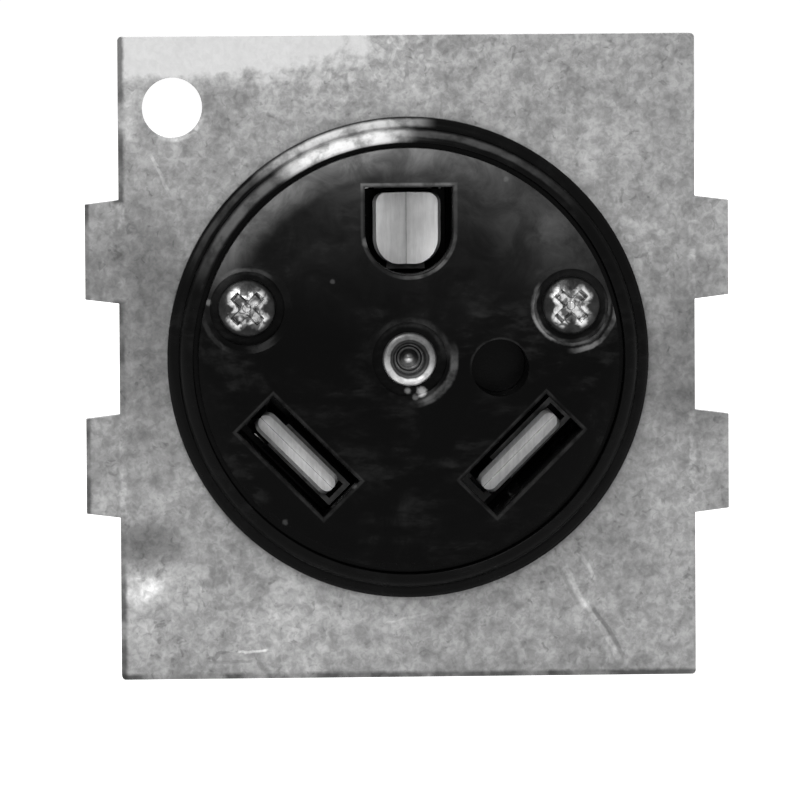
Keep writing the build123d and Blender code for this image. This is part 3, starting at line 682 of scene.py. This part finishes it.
def lathed_screw_mesh(name):
    """Head and threaded shank as one closed skin round the Y axis, head towards -Y."""
    angles = [2 * math.pi * index / SCREW_SEGMENTS for index in range(SCREW_SEGMENTS)]
    rings = []
    steps = round(SHANK_LENGTH / THREAD_PITCH * RINGS_PER_TURN)
    for step in range(steps, -1, -1):
        depth = SHANK_LENGTH * step / steps
        rings.append([(depth, thread_radius(depth, angle)) for angle in angles])
    profile = [
        (0.0, 0.97 * HEAD_RADIUS),
        (-HEAD_EDGE_ROUNDING, HEAD_RADIUS),
        (-0.9 * HEAD_RIM, HEAD_RADIUS),
    ]
    for share in DOME_SHARES:
        rise = (HEAD_HEIGHT - HEAD_RIM) * math.sqrt(1 - share**2)
        profile.append((-HEAD_RIM - rise, share * HEAD_RADIUS))
    rings += [[(height, radius)] * SCREW_SEGMENTS for height, radius in profile]

    work = bmesh.new()
    loops = []
    for ring in rings:
        points = [
            (radius * math.cos(angle), height, radius * math.sin(angle))
            for angle, (height, radius) in zip(angles, ring)
        ]
        loops.append([work.verts.new(point) for point in points])
    for first, second in zip(loops, loops[1:]):
        bridge(work, first, second)
    work.faces.new(loops[0][::-1])
    work.faces.new(loops[-1])
    return finished_mesh(work, name)


def recess_cutter_mesh(name):
    """Two tapered wings at 45 degrees and a cone between them, overlapping."""
    work = bmesh.new()
    top, floor = -HEAD_HEIGHT - CUT_EXTRA, -HEAD_HEIGHT + RECESS_DEPTH
    corners = ((-1, -1), (1, -1), (1, 1), (-1, 1))
    for degrees in (45, 135):
        turn = Matrix.Rotation(math.radians(degrees), 3, "Y")
        loops = []
        for height, (half_length, half_width) in ((top, WING_TOP), (floor, WING_FLOOR)):
            points = [Vector((a * half_length, height, b * half_width)) for a, b in corners]
            loops.append([work.verts.new(turn @ point) for point in points])
        bridge(work, *loops)
        work.faces.new(loops[0][::-1])
        work.faces.new(loops[1])
    length = floor - top + CUT_EXTRA
    upright = Matrix.Rotation(math.radians(-90), 4, "X")
    bmesh.ops.create_cone(
        work,
        cap_ends=True,
        segments=CONE_SEGMENTS,
        radius1=CONE_TOP_RADIUS,
        radius2=CONE_FLOOR_RADIUS,
        depth=length,
        matrix=Matrix.Translation((0, top + length / 2, 0)) @ upright,
    )
    return finished_mesh(work, name)


def cut_screw_mesh():
    """The turned screw with the cross recess cut into its head."""
    blank = add_object("screw_blank", lathed_screw_mesh("screw_blank"))
    cutter = add_object("screw_cutter", recess_cutter_mesh("screw_cutter"))
    cut = blank.modifiers.new("recess", "BOOLEAN")
    cut.operation = "DIFFERENCE"
    cut.solver = "EXACT"
    cut.use_self = True
    cut.object = cutter
    graph = bpy.context.evaluated_depsgraph_get()
    mesh = bpy.data.meshes.new_from_object(blank.evaluated_get(graph))
    bpy.data.objects.remove(blank)
    bpy.data.objects.remove(cutter)
    for polygon in mesh.polygons:
        polygon.use_smooth = True
    mesh.set_sharp_from_angle(angle=SCREW_SHARP_ANGLE)
    return mesh


def make_cover_screws():
    """Threaded screws with a worn cross recess, where the plain ones are."""
    cut_mesh = cut_screw_mesh()
    for side, wear_shift in (("left", 0.0), ("right", 7 * MM)):
        mesh = cut_mesh.copy()
        mesh.materials.clear()
        mesh.materials.append(worn_screw(f"worn_screw_{side}", wear_shift))
        low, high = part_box(f"cover_screw_{side}")
        screw = add_object(f"threaded_cover_screw_{side}", mesh)
        screw.location = ((low.x + high.x) / 2, low.y + HEAD_HEIGHT, (low.z + high.z) / 2)
        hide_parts(f"cover_screw_{side}")
        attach(screw, "root")


def pale_when_seen(finish, lit, seen_strength):
    """A strength for camera, glossy and transmitted rays, and another for all others."""
    path = finish.node("ShaderNodeLightPath", {})
    seen = finish.math("MAXIMUM", path.outputs["Is Camera Ray"], path.outputs["Is Glossy Ray"])
    seen = finish.math("MAXIMUM", seen, path.outputs["Is Transmission Ray"])
    return finish.paint(lit, seen, seen_strength - lit)


def make_floor():
    """A pale floor that reads white and keeps the soft shadow under the plate."""
    mesh = bpy.data.meshes.new("floor")
    outline = (
        (-FLOOR_HALF_WIDTH, FLOOR_FRONT),
        (FLOOR_HALF_WIDTH, FLOOR_FRONT),
        (FLOOR_HALF_WIDTH, FLOOR_BACK),
        (-FLOOR_HALF_WIDTH, FLOOR_BACK),
    )
    mesh.from_pydata([(x, y, cad_low.z) for x, y in outline], [], [(0, 1, 2, 3)])
    floor = add_object("floor", mesh)
    paper = Finish("floor_paper", roughness=0.9, specular=0.0)
    paper.shader.inputs["Base Color"].default_value = (FLOOR_TONE, FLOOR_TONE, FLOOR_TONE, 1)
    paper.shader.inputs["Emission Color"].default_value = (1, 1, 1, 1)
    paper.set("Emission Strength", pale_when_seen(paper, 0.0, FLOOR_SEEN))
    mesh.materials.append(paper.material)


def add_lamp(name, place, size, radiance):
    """A rectangular soft box of an even brightness, facing the origin."""
    data = bpy.data.lights.new(name, "AREA")
    data.shape = "RECTANGLE"
    data.size, data.size_y = size
    data.energy = radiance * math.pi * size[0] * size[1]
    lamp = add_object(name, data)
    lamp.location = place
    lamp.rotation_euler = (-Vector(place)).to_track_quat("-Z", "Y").to_euler()


class Studio(Finish):
    """The node methods on the world's own tree."""

    def __init__(self, name):
        self.world = bpy.data.worlds.new(name)
        self.world.use_nodes = True
        self.tree = self.world.node_tree
        self.shader = self.tree.nodes["Background"]


def light_scene():
    """A low even world that reads white, and the soft boxes."""
    studio = Studio("studio")
    bpy.context.scene.world = studio.world
    studio.shader.inputs["Color"].default_value = (1, 1, 1, 1)
    studio.set("Strength", pale_when_seen(studio, WORLD_LIGHT, WORLD_SEEN))
    for lamp in LAMPS:
        add_lamp(*lamp)


def place_camera():
    """The photograph's viewpoint: almost level, a little from the left."""
    back = Vector(
        (
            math.sin(VIEW_AZIMUTH) * math.cos(VIEW_ELEVATION),
            -math.cos(VIEW_AZIMUTH) * math.cos(VIEW_ELEVATION),
            math.sin(VIEW_ELEVATION),
        )
    )
    data = bpy.data.cameras.new("camera")
    data.sensor_width = SENSOR_WIDTH
    data.lens = SENSOR_WIDTH * VIEW_DISTANCE / VIEW_WIDTH
    data.clip_start, data.clip_end = CLIP_START, CLIP_END
    camera = add_object("camera", data)
    turn = (-back).to_track_quat("-Z", "Y").to_matrix().to_4x4()
    roll = Matrix.Rotation(-VIEW_ROLL, 4, "Z")
    camera.matrix_world = Matrix.Translation(AIM + back * VIEW_DISTANCE) @ turn @ roll
    bpy.context.scene.camera = camera


contact_nodes = [name for name in nodes if name.endswith("_contact")]
spring_nodes = [name for name in nodes if "spring" in name]
zinc_nodes = [name for name in nodes if "terminal_screw" in name or "clamp" in name]
zinc_nodes += ["ground_strap", "rivet_washer"]

dress(["mounting_plate"], galvanised_steel())
dress(["front_cover"], face_finish())
dress(["rear_housing"], rim_finish())
dress(["center_rivet"], rivet_metal())
dress(contact_nodes, contact_metal())
dress(zinc_nodes, bright_plate("zinc_plated_steel", *ZINC_PLATE))
dress(spring_nodes, bright_plate("spring_steel", *SPRING_STEEL))
soften_edges(["mounting_plate"], STAMPED_ROUNDING, merge_flat=False)
soften_edges(["front_cover", "rear_housing"], MOULDED_ROUNDING, merge_flat=True)
make_cover_screws()

make_floor()
light_scene()
place_camera()
bpy.context.scene.view_settings.view_transform = "Standard"
